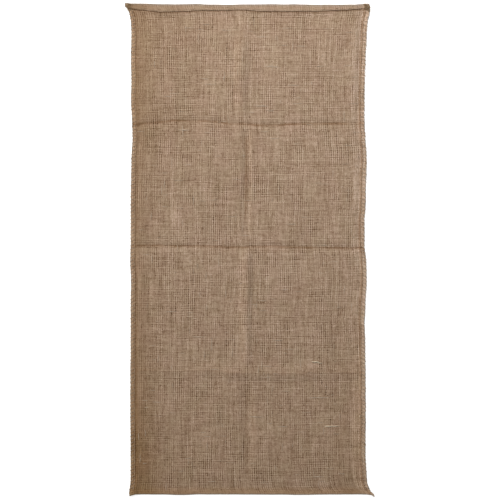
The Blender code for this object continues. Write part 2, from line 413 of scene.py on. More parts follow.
def hem_rows(front):
    """From the hem's turned-in raw edge, round its lower edge and up to the mouth's fold."""
    steps = []
    for inside in (HEM_TUCK, 3 * MM):
        steps.append((lambda x, d=inside: hem_edge(x) + d, PLY))
    for angle in (0.0, 0.33, 0.67, 1.0):
        drop = PLY / 2 * math.sin(math.pi * angle)
        rise = PLY * 1.5 - PLY / 2 * math.cos(math.pi * angle)
        steps.append((lambda x, d=drop: hem_edge(x) - d, rise))
    for share in (0.15, 0.3, 0.45, 0.6, 0.75, 0.9):
        steps.append((lambda x, s=share: mouth_blend(x, s), PLY * 2))
    for angle in (0.0, 0.25, 0.5, 0.75):
        over = PLY * math.sin(math.pi * angle)
        rise = PLY + PLY * math.cos(math.pi * angle)
        steps.append((lambda x, d=over: HALF_LENGTH - PLY - CLOTH / 2 + d, rise))
    rows = []
    for index, (y_at, rise) in enumerate(steps):
        tucked = index < 2
        rows.append(Row(front, y_at, rise, 0, hem_flat(front, y_at, tucked)))
    return rows


def mouth_blend(x, share):
    edge = hem_edge(x)
    return edge + (HALF_LENGTH - PLY - CLOTH / 2 - edge) * share


def hem_flat(front, y_at, tucked):
    """Place along the flat cloth of a line in the hem: counted on past the mouth."""
    mouth = 0 if front > 0 else 4 * HALF_LENGTH

    def flat(x):
        turned = HALF_LENGTH - (2 * hem_edge(x) - y_at(x) if tucked else y_at(x))
        return mouth - front * turned

    return flat


def panel_y(x, y):
    """Nominal lines near the hem follow its uneven edge."""
    near = fade(y - (HALF_LENGTH - 80 * MM), 50 * MM)
    return y + (hem_edge(x) - (HALF_LENGTH - HEM_DEPTH)) * near


def panel_rows(front, step):
    """The lines across a panel, from the mouth to the bottom fold."""
    marks = [-HALF_LENGTH + FOLD_DEPTH + v * MM for v in (0, 2, 4, 7, 12)]
    marks += [HALF_LENGTH - v * MM for v in (17.5, 19.5, 22, 26, 31)]
    if front > 0:
        for line in CREASE_AT.values():
            marks += [line + v * MM for v in (-16, -12, -8, -5, -2.5, -1, 1, 2.5, 5, 8, 12, 16)]
    rows = []
    for y in filled_in(marks, step):
        rows.append(panel_row(front, lambda x, y=y: panel_y(x, y)))
    for share in (0.1, 0.5):
        rows.append(panel_row(front, lambda x, s=share: mouth_blend(x, s)))
    rows.append(panel_row(front, lambda x: HALF_LENGTH - PLY - CLOTH / 2))
    return rows[::-1]


def panel_row(front, y_at):
    if front > 0:
        return Row(front, y_at, 0, 0, lambda x: HALF_LENGTH - y_at(x))
    return Row(front, y_at, 0, 0, lambda x: 3 * HALF_LENGTH + y_at(x))


def rows():
    """All lines across, from the front hem's raw edge to the back hem's."""
    front = hem_rows(1) + panel_rows(1, 5.2 * MM)
    back = hem_rows(-1) + panel_rows(-1, 24 * MM)
    fold = []
    for turn in (0.2, 0.4, 0.6, 0.8):
        flat = 2 * HALF_LENGTH + (turn - 0.5) * FOLD_DEPTH
        fold.append(Row(1, lambda x: -HALF_LENGTH + FOLD_DEPTH, 0, turn, lambda x, f=flat: f))
    return front + fold + back[::-1]


def grid_point(column, row):
    """Where a crossing of two lines of the cloth is."""
    y = row.y_at(column.x)
    outwards = math.copysign(1, column.x)
    real_x, real_y = place(column.x - outwards * column.tuck, y)
    real_x += outwards * PLY / 2 * math.sin(math.pi * column.turn)
    front_z, back_z = front_middle(column.x, y), back_middle(column.x, y)
    if row.turn > 0:
        radius = (front_z - back_z) / 2
        real_y -= (FOLD_DEPTH - CLOTH / 2) * math.sin(math.pi * row.turn) ** 0.7
        height = back_z + radius + radius * math.cos(math.pi * row.turn)
        return Vector((real_x, real_y, height))
    panel_z = front_z if row.front > 0 else back_z
    inwards = PLY / 2 * (1 - math.cos(math.pi * column.turn))
    return Vector((real_x, real_y, panel_z + row.front * (row.rise - inwards)))


def crease_share(x, y):
    """1 on the sharp line of a fold crease, where dust and painted shade darken the cloth."""
    share = 0
    for name, line in CREASE_AT.items():
        weak = 0.35 if name == "lower" else 1
        uneven = 0.75 + 0.6 * waver(x, y, 30 * MM, 1, line + 1)
        share = max(share, weak * uneven * bump(y - line, 5.5 * MM))
    # Painted shade, with dust, on the left flank of the middle crease where it is a deep trough.
    trough = min(max(-at(MIDDLE_CREASE, y, "z") - 1.6, 0), 1)
    share = max(share, trough * (0.55 + 0.3 * waver(x, y, 1, 30 * MM, 1.9)) * bump(x + 5 * MM, 8 * MM))
    return min(max(share, 0), 1)


def hem_shadow(x, y):
    """1 in the groove under the hem's edge, where a painted shadow darkens the cloth."""
    return bump(hem_edge(x) - 2 * MM - y, 4 * MM)


def seam_groove(x):
    """1 on the lines of stitches, which pull the cloth in."""
    return bump(seam_distance(x), 5.5 * MM if x < 0 else 3.6 * MM)


def shade_share(x, y):
    """How much soiling and painted shade darken the cloth: most at the left side and the foot, least
    beside the right seam.
    """
    left = 1 - fade(x + HALF_WIDTH, 110 * MM)
    left_half = 1 - fade(x + HALF_WIDTH, 400 * MM)
    foot = 1 - fade(y + HALF_LENGTH, 620 * MM)
    foot_corner = (1 - fade(x + HALF_WIDTH, 200 * MM)) * (1 - fade(y + HALF_LENGTH, 260 * MM))
    head = fade(y, 500 * MM)
    right_strip = bump(x - (HALF_WIDTH - 27 * MM), 18 * MM)
    foot_right = foot * bump(x - (HALF_WIDTH - 65 * MM), 40 * MM)
    shade = 0.25 + 0.17 * foot + left * (0.3 + 0.26 * foot) + left_half * (0.06 + 0.16 * head)
    return shade + 0.16 * foot_corner + 0.15 * foot_right - 0.3 * right_strip


def warm_share(x, y):
    """How browned the cloth is: along the bottom fold and just inside both seams."""
    fold = 1 - fade(y + HALF_LENGTH - 6 * MM, 22 * MM)
    beside = bump(x + HALF_WIDTH - SEAM_LEFT - 3 * MM, 9 * MM)
    lower = 1 - fade(y + HALF_LENGTH, 900 * MM)
    right_strip = bump(x - (HALF_WIDTH - 25 * MM), 20 * MM)
    return max(0.65 * fold, beside * (0.32 + 0.45 * lower), 0.5 * lower * right_strip)


def seam_dirt_and_shade(x, y):
    """How much dirt and painted shade darken the groove of a seam's stitches, uneven along the seam."""
    uneven = 1 + 0.8 * waver(0, y, 1, 26 * MM, 9.4)
    if x > 0:
        return 0.42 * uneven
    third_quarter = bump(y + 190 * MM, 230 * MM)
    corner = bump(y - 650 * MM, 60 * MM)
    return (0.25 + 0.45 * third_quarter + 0.4 * corner) * uneven


def pale_share(x, y):
    """How pale the cloth is: rubbed on the sewn edges, and cleaner in places beside both seams."""
    outside = fade(-seam_distance(x), 3.5 * MM)
    if x > 0:
        strip = bump(x - (HALF_WIDTH - 25 * MM), 17 * MM) * bump(y - 175 * MM, 260 * MM)
        return max(outside, 0.3 * strip)
    clean = 0.8 * bump(y - 450 * MM, 150 * MM) + 0.8 * bump(y + 650 * MM, 60 * MM)
    outside *= 0.8 + 0.3 * clean + 0.3 * waver(0, y, 1, 9 * MM, 6.6)
    return min(max(outside, clean * bump(seam_distance(x), 8 * MM)), 1)


def calm_share(x, y):
    """Where the weave is pulled tight and its yarns show less: beside the left seam and at the fold."""
    beside = bump(x + HALF_WIDTH - 22 * MM, 24 * MM) * (0.55 + 0.5 * waver(x, y, 1, 90 * MM, 2.7))
    foot = 1 - fade(y + HALF_LENGTH, 22 * MM)
    return min(max(beside, foot, 0), 1)


def rim_share(column, row):
    """1 on the outermost edges and the bottom corners, painted greyer as the shade of the rolled edges.
    """
    if column.turn > 0 or row.turn > 0:
        return 1
    inset = HALF_WIDTH - abs(column.x)
    side = bump(inset, 3.2 * MM)
    top = 0.8 * bump(HALF_LENGTH - row.y_at(column.x), 7 * MM) if row.rise > 0 else 0
    above_fold = row.y_at(column.x) + HALF_LENGTH
    corner = bump(above_fold, 15 * MM) * bump(inset, 13 * MM)
    return max(side, top, bump(above_fold, 4.5 * MM), corner)


# What varies over the cloth, for its material: each is a share from 0 to 1.
SURFACE_LAYERS = ("crease", "shade", "rim", "calm", "pale", "warm", "groove")


def cloth_sheet(material):
    """The whole sheet of cloth, folded as it is sewn."""
    all_columns, all_rows = columns(), rows()
    mesh = bmesh.new()
    uv_layer = mesh.loops.layers.uv.new("flat_cloth")
    layers = {name: mesh.verts.layers.float.new(name) for name in SURFACE_LAYERS}
    bmesh.ops.create_grid(mesh, x_segments=len(all_columns) - 1, y_segments=len(all_rows) - 1, size=1)
    flat = {}
    for vertex in mesh.verts:
        i = round((vertex.co.x + 1) / 2 * (len(all_columns) - 1))
        j = round((vertex.co.y + 1) / 2 * (len(all_rows) - 1))
        column, row = all_columns[i], all_rows[j]
        y = row.y_at(column.x)
        vertex.co = grid_point(column, row)
        stray = row.front * across_shift(column.x, y)
        flat[vertex] = (column.flat + middle_shift(column.x, y), row.flat_at(column.x) - stray)
        if row.front > 0 and row.rise == 0:
            # Dust and painted shade on the creases, and a painted shadow under the hem's edge.
            vertex[layers["crease"]] = max(crease_share(column.x, y), 0.9 * hem_shadow(column.x, y))
            # Dirt and painted shade in the groove of the seams' stitches.
            vertex[layers["groove"]] = seam_dirt_and_shade(column.x, y) * seam_groove(column.x)
        # Painted shade greying the outermost edges and the bottom corners.
        vertex[layers["rim"]] = rim_share(column, row)
        vertex[layers["calm"]] = 0.75 if row.rise > 0 else calm_share(column.x, y)
        # Soiling and painted shade, darker at the left side and the foot.
        vertex[layers["shade"]] = shade_share(column.x, y)
        vertex[layers["warm"]] = warm_share(column.x, y)
        vertex[layers["pale"]] = pale_share(column.x, y) if row.rise == 0 else 0
    for face in mesh.faces:
        face.smooth = True
        for loop in face.loops:
            loop[uv_layer].uv = flat[loop.vert]
    bmesh.ops.reverse_faces(mesh, faces=mesh.faces)
    data = bpy.data.meshes.new("sack")
    mesh.to_mesh(data)
    mesh.free()
    sack = bpy.data.objects.new("sack", data)
    bpy.context.scene.collection.objects.link(sack)
    data.materials.append(material)
    thicken = sack.modifiers.new("thickness", "SOLIDIFY")
    thicken.thickness = CLOTH
    thicken.offset = 0
    thicken.use_even_offset = False
    return sack


# ------------------------------------------------------------------ thread and fibres


def tube(mesh, uv_layer, points, radius, sides):
    """Adds a round thread along points, with its length in v. A radius for each point, or one."""
    radii = radius if isinstance(radius, list) else [radius] * len(points)
    side = Vector((0, 0, 1))
    rings, along = [], 0
    for index, point in enumerate(points):
        before, after = points[max(index - 1, 0)], points[min(index + 1, len(points) - 1)]
        forward = (after - before).normalized()
        side = (side - forward * side.dot(forward)).normalized()
        across = forward.cross(side)
        if index:
            along += (point - points[index - 1]).length
        ring = []
        for k in range(sides):
            angle = 2 * math.pi * k / sides
            out = side * math.cos(angle) + across * math.sin(angle)
            ring.append(mesh.verts.new(point + out * radii[index]))
        rings.append((ring, along))
    for (low, low_v), (high, high_v) in zip(rings, rings[1:]):
        for k in range(sides):
            n = (k + 1) % sides
            face = mesh.faces.new((low[k], low[n], high[n], high[k]))
            face.smooth = True
            corners = ((k, low_v), (k + 1, low_v), (k + 1, high_v), (k, high_v))
            for loop, (u, v) in zip(face.loops, corners):
                loop[uv_layer].uv = (u / sides, v)
    mesh.faces.new(rings[0][0][::-1])
    mesh.faces.new(rings[-1][0])


def thread_object(name, material, runs, sides=6):
    """One piece made of many threads: each run is its points and its radius."""
    mesh = bmesh.new()
    uv_layer = mesh.loops.layers.uv.new("along_thread")
    for points, radius in runs:
        tube(mesh, uv_layer, points, radius, sides)
    data = bpy.data.meshes.new(name)
    mesh.to_mesh(data)
    mesh.free()
    piece = bpy.data.objects.new(name, data)
    bpy.context.scene.collection.objects.link(piece)
    data.materials.append(material)
    return piece


def front_surface(x, y):
    """A point on the outside of the front at a nominal place, over the hem where there is one."""
    real_x, real_y = place(x, y)
    hem = 2 * PLY if y > hem_edge(x) else 0
    return Vector((real_x, real_y, front_middle(x, y) + CLOTH / 2 + hem))


def back_surface(x, y):
    real_x, real_y = place(x, y)
    hem = 2 * PLY if y > hem_edge(x) else 0
    return Vector((real_x, real_y, back_middle(x, y) - CLOTH / 2 - hem))


OverheadStep = namedtuple("OverheadStep", "inset over advance")
# One overhead stitch. inset: from the edge, as a share of the seam. over: 0 under the back, 1 on the
# front. advance: share of a stitch along the seam.
OVERHEAD_PATH = [
    OverheadStep(1.0, 0.0, 0.0),
    OverheadStep(0.93, 0.9, 0.05),
    OverheadStep(0.6, 1.0, 0.2),
    OverheadStep(0.28, 1.0, 0.34),
    OverheadStep(0.04, 0.75, 0.43),
    OverheadStep(-0.03, 0.4, 0.5),
    OverheadStep(0.04, 0.05, 0.57),
    OverheadStep(0.35, 0.0, 0.7),
    OverheadStep(0.8, 0.0, 0.9),
]
SeamLineStep = namedtuple("SeamLineStep", "advance inset lift")
SEAM_LINE_PATH = [
    SeamLineStep(0.05, 0.4, 0.1),
    SeamLineStep(0.35, 0.9, 0.9),
    SeamLineStep(0.65, -0.4, 1.0),
    SeamLineStep(0.9, -0.9, 0.6),
]


def overhead_stitches(side, seam):
    """The thread that goes over the sewn edge once for each stitch, from mouth to bottom fold."""
    rng = random.Random(11 + int(side))
    points = []
    length = 2 * HALF_LENGTH - 10 * MM
    turns = int(length / STITCH_PITCH)
    edge = side * HALF_WIDTH
    for turn in range(turns):
        stray = rng.uniform(-0.8, 0.8) * MM
        depth = seam + rng.uniform(-0.7, 0.5) * MM
        for inset, over, advance in OVERHEAD_PATH:
            y = HALF_LENGTH - 5 * MM - (turn + advance) * STITCH_PITCH + stray * (advance == 0)
            y = max(y, -HALF_LENGTH + 4 * MM)
            x = edge - side * max(inset, 0.02) * depth
            top, bottom = front_surface(x, y), back_surface(x, y)
            point = bottom.lerp(top, over)
            point.z += (over - 0.35) * THREAD_RADIUS * 1.4 * (inset < 1)
            point.x += side * THREAD_RADIUS * (inset < 0)
            point.z = max(point.z, THREAD_RADIUS * 0.7)
            points.append(point)
    return points


def seam_line(side, seam):
    """The thread that lies along the seam's inner line and ties the overhead stitches down."""
    rng = random.Random(23 + int(side))
    points = []
    turns = int((2 * HALF_LENGTH - 14 * MM) / STITCH_PITCH)
    for turn in range(turns):
        slack = rng.uniform(-0.5, 0.5) * MM
        for advance, inset, lift in SEAM_LINE_PATH:
            y = HALF_LENGTH - 6 * MM - (turn + advance) * STITCH_PITCH
            x = side * (HALF_WIDTH - seam - inset * MM) + slack
            point = front_surface(x, y)
            point.z += (lift * 1.1 - 0.5) * THREAD_RADIUS
            points.append(point)
    return points


def corner_wraps(side):
    """Close turns that finish the seam at the mouth, wound slantwise round the corner."""
    rng = random.Random(41 + int(side))
    runs = []
    for index in range(5):
        start = 0.5 + index * 3.3
        points = []
        for step in range(9):
            share = step / 8
            x = side * (HALF_WIDTH - (0.3 + 15.5 * (1 - share)) * MM)
            y = HALF_LENGTH - (start + 9 * share + rng.uniform(-0.3, 0.3)) * MM
            point = front_surface(x, min(y, HALF_LENGTH - 1.5 * MM))
            point.z += THREAD_RADIUS * (0.7 - 1.6 * abs(share - 0.45) ** 2)
            points.append(point)
        runs.append((points, THREAD_RADIUS * 1.3))
    return runs


def hem_stitches():
    """Running stitches just above the hem's lower edge, front and back."""
    runs = []
    count = int((2 * HALF_WIDTH - 30 * MM) / HEM_STITCH_PITCH)
    for surface, outwards in ((front_surface, 1), (back_surface, -1)):
        for index in range(count):
            start = -HALF_WIDTH + 15 * MM + index * HEM_STITCH_PITCH
            points = []
            for share, lift in ((0.0, -1.2), (0.12, 0.15), (0.36, 0.4), (0.6, 0.15), (0.72, -1.2)):
                x = start + share * HEM_STITCH_PITCH
                y = hem_edge(x) + (3.2 + 0.5 * math.sin(index * 2.3)) * MM
                point = surface(x, y)
                point.z += outwards * lift * 0.6 * MM
                point.z = max(point.z, 0.38 * MM)
                points.append(point)
            runs.append((points, HEM_THREAD_RADIUS))
    return runs


def loose_fibres():
    """Short jute hairs that stand out of the front and the edges."""
    rng = random.Random(7)
    runs = []
    for index in range(FIBRES):
        on_edge = index % 3 == 0
        y = rng.uniform(-HALF_LENGTH + 8 * MM, HALF_LENGTH - 8 * MM)
        x = rng.uniform(-HALF_WIDTH + 16 * MM, HALF_WIDTH - 16 * MM)
        if on_edge:
            x = rng.choice((-1, 1)) * (HALF_WIDTH - rng.uniform(0.2, 3) * MM)
        heading = rng.uniform(0, 2 * math.pi)
        length = rng.uniform(5, 17) * MM
        curl = rng.uniform(-1.6, 1.6)
        start = front_surface(x, y)
        points = []
        for step in range(4):
            share = step / 3
            turn = heading + curl * share
            offset = Vector((math.cos(turn), math.sin(turn), 0)) * length * share
            rise = (0.1 + 1.5 * math.sin(math.pi * share * 0.8)) * MM * rng.uniform(0.5, 1)
            point = start + offset * (0.35 if on_edge else 1)
            point.z = max(start.z + rise - 0.2 * MM, 0.4 * MM)
            points.append(point)
        runs.append((points, [0.13 * MM, 0.12 * MM, 0.1 * MM, 0.05 * MM]))
    return runs


Slub = namedtuple("Slub", "x y length radius along")
# Thick, light places in single yarns that catch the eye. along: 1 in a warp yarn, 0 in a weft yarn.
WHITE_TUFTS = [
    Slub(185, -308, 22, 1.9, 0),
    Slub(197, -311, 16, 1.5, 0),
    Slub(220, -487, 22, 1.9, 0),
    Slub(236, -486, 34, 1.2, 0),
    Slub(306, -459, 7, 1.4, 1),
]
SLUBS = [
    Slub(52, 395, 40, 1.0, 0),
    Slub(70, 384, 26, 0.8, 0),
    Slub(-179, 326, 34, 1.1, 0),
    Slub(-135, -241, 38, 1.0, 0),
    Slub(85, -249, 30, 1.1, 0),
    Slub(22, -460, 44, 1.1, 0),
    Slub(94, -487, 30, 0.9, 0),
    Slub(195, -408, 70, 1.0, 0),
    Slub(187, -625, 34, 1.0, 0),
    Slub(-110, 470, 26, 1.0, 0),
    Slub(-95, 455, 40, 0.8, 0),
    Slub(150, 560, 30, 0.8, 0),
    Slub(132, 452, 34, 0.9, 0),
    Slub(200, 505, 22, 0.8, 0),
    Slub(75, 503, 38, 1.0, 0),
    Slub(230, 210, 22, 0.8, 1),
    Slub(-230, 180, 30, 0.8, 1),
    Slub(120, 70, 32, 0.9, 0),
    Slub(-60, -120, 28, 0.8, 1),
    Slub(-250, -420, 26, 0.8, 0),
    Slub(-160, 610, 30, 0.8, 0),
    Slub(262, -110, 30, 0.8, 1),
    Slub(40, -140, 34, 0.9, 0),
    Slub(-210, -170, 36, 0.9, 0),
    Slub(-150, 135, 30, 0.8, 1),
    Slub(85, 165, 26, 0.8, 1),
]


def chance_slubs():
    """Many fainter thick places."""
    rng = random.Random(5)
    spots = []
    for _ in range(CHANCE_SLUBS):
        x, y = rng.uniform(-300, 300), rng.uniform(-655, 640)
        spots.append(Slub(x, y, rng.uniform(9, 34), rng.uniform(0.5, 0.8), rng.random() < 0.4))
    return spots


def slub_yarns(spots):
    """Each slub as a thread that swells in its middle and sinks into the weave at both ends."""
    runs = []
    for slub in spots:
        points, radii = [], []
        for step in range(7):
            share = step / 6
            offset = (share - 0.5) * slub.length * MM
            stray = 0.5 * MM * math.sin(3 * share + slub.x)
            here_x = slub.x * MM + (stray if slub.along else offset)
            here_y = slub.y * MM + (offset if slub.along else stray)
            swell = math.sin(math.pi * share)
            point = front_surface(here_x, here_y)
            point.z += (slub.radius * 0.35 * swell - 0.3) * MM
            points.append(point)
            radii.append((0.15 + (slub.radius - 0.15) * swell ** 0.6) * MM)
        runs.append((points, radii))
    return runs


# ------------------------------------------------------------------ materials


class Field:
    """A number that varies over a surface, worked out by shader nodes."""

    def __init__(self, tree, socket):
        self.tree = tree
        self.socket = socket

    def math(self, operation, *others):
        node = self.tree.nodes.new("ShaderNodeMath")
        node.operation = operation
        for slot, value in zip(node.inputs, (self,) + others):
            if isinstance(value, Field):
                self.tree.links.new(value.socket, slot)
            else:
                slot.default_value = value
        return Field(self.tree, node.outputs[0])

    def __add__(self, other):
        return self.math("ADD", other)

    def __sub__(self, other):
        return self.math("SUBTRACT", other)

    def __mul__(self, other):
        return self.math("MULTIPLY", other)

    def clamped(self, low, high):
        return self.math("MAXIMUM", low).math("MINIMUM", high)

    def step_between(self, low, high):
        """0 below low, 1 above high, smooth between."""
        node = self.tree.nodes.new("ShaderNodeMapRange")
        node.interpolation_type = "SMOOTHSTEP"
        self.tree.links.new(self.socket, node.inputs["Value"])
        node.inputs["From Min"].default_value = low
        node.inputs["From Max"].default_value = high
        return Field(self.tree, node.outputs[0])

    def mixed(self, zero, one):
        """The second value where this is 1, the first where it is 0."""
        return zero + (one - zero) * self


def combined(tree, x, y, z):
    node = tree.nodes.new("ShaderNodeCombineXYZ")
    for slot, value in zip(node.inputs, (x, y, z)):
        if isinstance(value, Field):
            tree.links.new(value.socket, slot)
        else:
            slot.default_value = value
    return node.outputs[0]


def noise_field(tree, x, y, z=0.0, detail=1.0):
    """Smooth noise from 0 to 1; the coordinates are in units of its size."""
    node = tree.nodes.new("ShaderNodeTexNoise")
    node.inputs["Scale"].default_value = 1
    node.inputs["Detail"].default_value = detail
    tree.links.new(combined(tree, x, y, z), node.inputs["Vector"])
    return Field(tree, node.outputs[0])


def uv_fields(tree):
    uv = tree.nodes.new("ShaderNodeTexCoord")
    split = tree.nodes.new("ShaderNodeSeparateXYZ")
    tree.links.new(uv.outputs["UV"], split.inputs[0])
    return Field(tree, split.outputs[0]), Field(tree, split.outputs[1])


def attribute_field(tree, name):
    node = tree.nodes.new("ShaderNodeAttribute")
    node.attribute_name = name
    return Field(tree, node.outputs["Fac"])


def between(tree, colours, choice):
    """A colour between two by a choice from 0 to 1."""
    mix = tree.nodes.new("ShaderNodeMix")
    mix.data_type = "RGBA"
    tree.links.new(choice.socket, mix.inputs[0])
    mix.inputs[6].default_value = (*colours[0], 1)
    mix.inputs[7].default_value = (*colours[1], 1)
    return mix.outputs[2]


def multiplied(tree, colour, factors):
    node = tree.nodes.new("ShaderNodeVectorMath")
    node.operation = "MULTIPLY"
    tree.links.new(colour, node.inputs[0])
    tree.links.new(factors, node.inputs[1])
    return node.outputs[0]


def shaded_colour(tree, colours, choice, brightness):
    """A colour between two, times a brightness."""
    factors = combined(tree, brightness, brightness, brightness)
    return multiplied(tree, between(tree, colours, choice), factors)


def browned(tree, colours, choice, tone):
    """A colour between two, times a tone that also makes dark yarns browner and light ones paler."""
    factors = combined(tree, tone.math("POWER", 0.84), tone, tone.math("POWER", 1.21))
    return multiplied(tree, between(tree, colours, choice), factors)


def new_material(name, roughness):
    material = bpy.data.materials.new(name)
    material.use_nodes = True
    shader = material.node_tree.nodes["Principled BSDF"]
    shader.inputs["Roughness"].default_value = roughness
    shader.inputs["Specular IOR Level"].default_value = 0.1
    shader.inputs["Sheen Weight"].default_value = 0.06
    shader.inputs["Sheen Roughness"].default_value = 0.6
    return material, material.node_tree, shader


def bumped(tree, shader, height, distance):
    node = tree.nodes.new("ShaderNodeBump")
    node.inputs["Strength"].default_value = 1
    node.inputs["Distance"].default_value = distance
    tree.links.new(height.socket, node.inputs["Height"])
    tree.links.new(node.outputs[0], shader.inputs["Normal"])


# Natural jute varies between a greenish and a pinkish brown.
OLIVE_JUTE = (0.426, 0.301, 0.200)
PINK_JUTE = (0.436, 0.294, 0.205)
# What multiplies it: painted shade and dark specks in the gaps between yarns, soiling and painted shade,
# browning along a seam and the fold, dirt and painted shade in the stitch pits, dust and painted shade
# on the sharp line of a crease and a painted shadow under the hem, painted shade greying the outermost
# edges, and paleness outside the seams.
GAP_SHADE_AND_SPECK = (0.55, 0.48, 0.40)
SOIL_AND_SHADE = (0.58, 0.495, 0.36)
WARM_TURN = (1.04, 0.95, 0.80)
STITCH_PIT_DIRT_AND_SHADE = (0.58, 0.44, 0.30)
CREASE_DUST_AND_SHADE = (0.64, 0.54, 0.43)
GREY_RIM_SHADE = (0.78, 0.96, 1.18)
PALE_EDGE = (1.4, 1.44, 1.48)
FIBRE_LIGHT = (0.62, 0.49, 0.36)
THREAD_COLOURS = {
    "left_seam_line": ((0.29, 0.175, 0.095), (0.55, 0.40, 0.27)),
    "right_seam_line": ((0.30, 0.165, 0.08), (0.48, 0.31, 0.19)),
    "left_overhead_thread": ((0.36, 0.27, 0.19), (0.62, 0.50, 0.39)),
    "right_overhead_thread": ((0.47, 0.34, 0.235), (0.72, 0.57, 0.44)),
    "corner_thread": ((0.17, 0.10, 0.045), (0.44, 0.30, 0.16)),
    "hem_thread": ((0.40, 0.29, 0.19), FIBRE_LIGHT),
    "loose_fibres": ((0.40, 0.29, 0.19), FIBRE_LIGHT),
    "slubs": ((0.50, 0.38, 0.27), (0.72, 0.58, 0.45)),
    "white_tufts": ((0.70, 0.55, 0.38), (0.90, 0.77, 0.58)),
}


def tinted(tree, colour, tint, share):
    """The colour multiplied by a tint, as much as share says."""
    mix = tree.nodes.new("ShaderNodeMix")
    mix.data_type = "RGBA"
    mix.blend_type = "MULTIPLY"
    tree.links.new(share.socket, mix.inputs[0])
    tree.links.new(colour, mix.inputs[6])
    mix.inputs[7].default_value = (*tint, 1)
    return mix.outputs[2]


def uniform(tree, value):
    node = tree.nodes.new("ShaderNodeValue")
    node.outputs[0].default_value = value
    return Field(tree, node.outputs[0])


